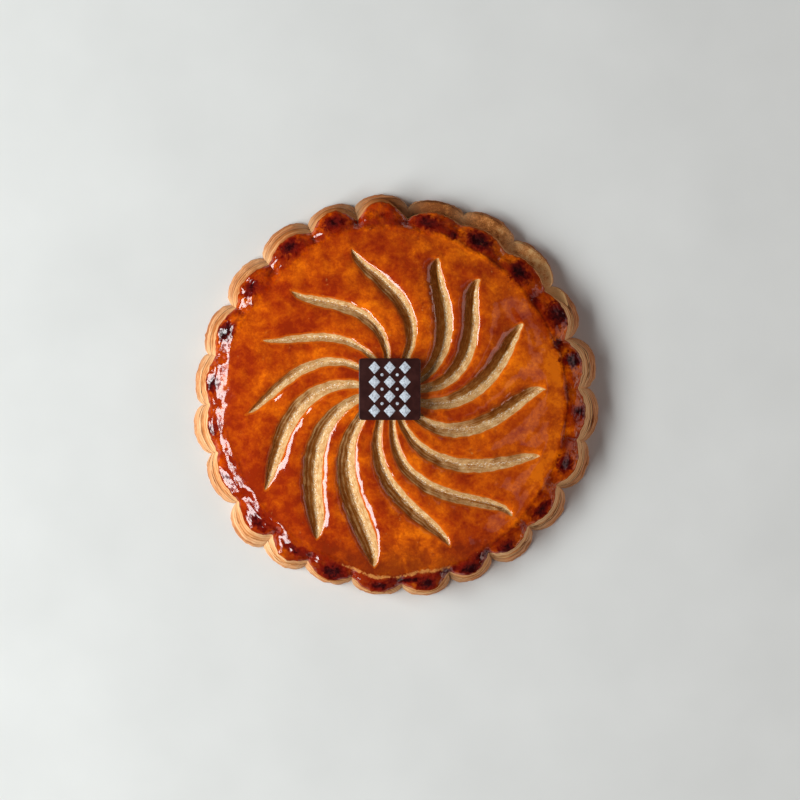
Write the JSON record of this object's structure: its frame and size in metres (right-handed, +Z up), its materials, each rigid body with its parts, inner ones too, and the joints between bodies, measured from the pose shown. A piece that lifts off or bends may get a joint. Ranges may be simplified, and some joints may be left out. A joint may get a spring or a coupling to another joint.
{
  "type": "galette des rois",
  "caption": "Round puff pastry cake for Epiphany: glazed dome with curved cuts turning round the middle, a scalloped layered rim and a small square chocolate plaque on top.",
  "frame": {"origin": "middle of the outline, on the flat underside", "axes": "+Z up through the thickness; +X and +Y across the pastry, +X to the right and +Y away from the viewer as the picture looks down on it"},
  "size_m": [0.2028, 0.201, 0.0333],
  "materials": {
    "baked_pastry": "dry baked puff pastry, cream to tan, with thin browned layers on the sides",
    "glazed_pastry": "glossy egg and syrup glaze, mottled amber to red-brown, burnt dark in the dents of the rim, cream and dry in the cuts",
    "dark_chocolate": "smooth tempered dark chocolate, satin, with a plain pale ornament"
  },
  "bodies": {
    "root": {"bottom_sheet": "baked_pastry", "top_pastry": "glazed_pastry", "chocolate_plaque": "dark_chocolate"}
  },
  "joints": []
}
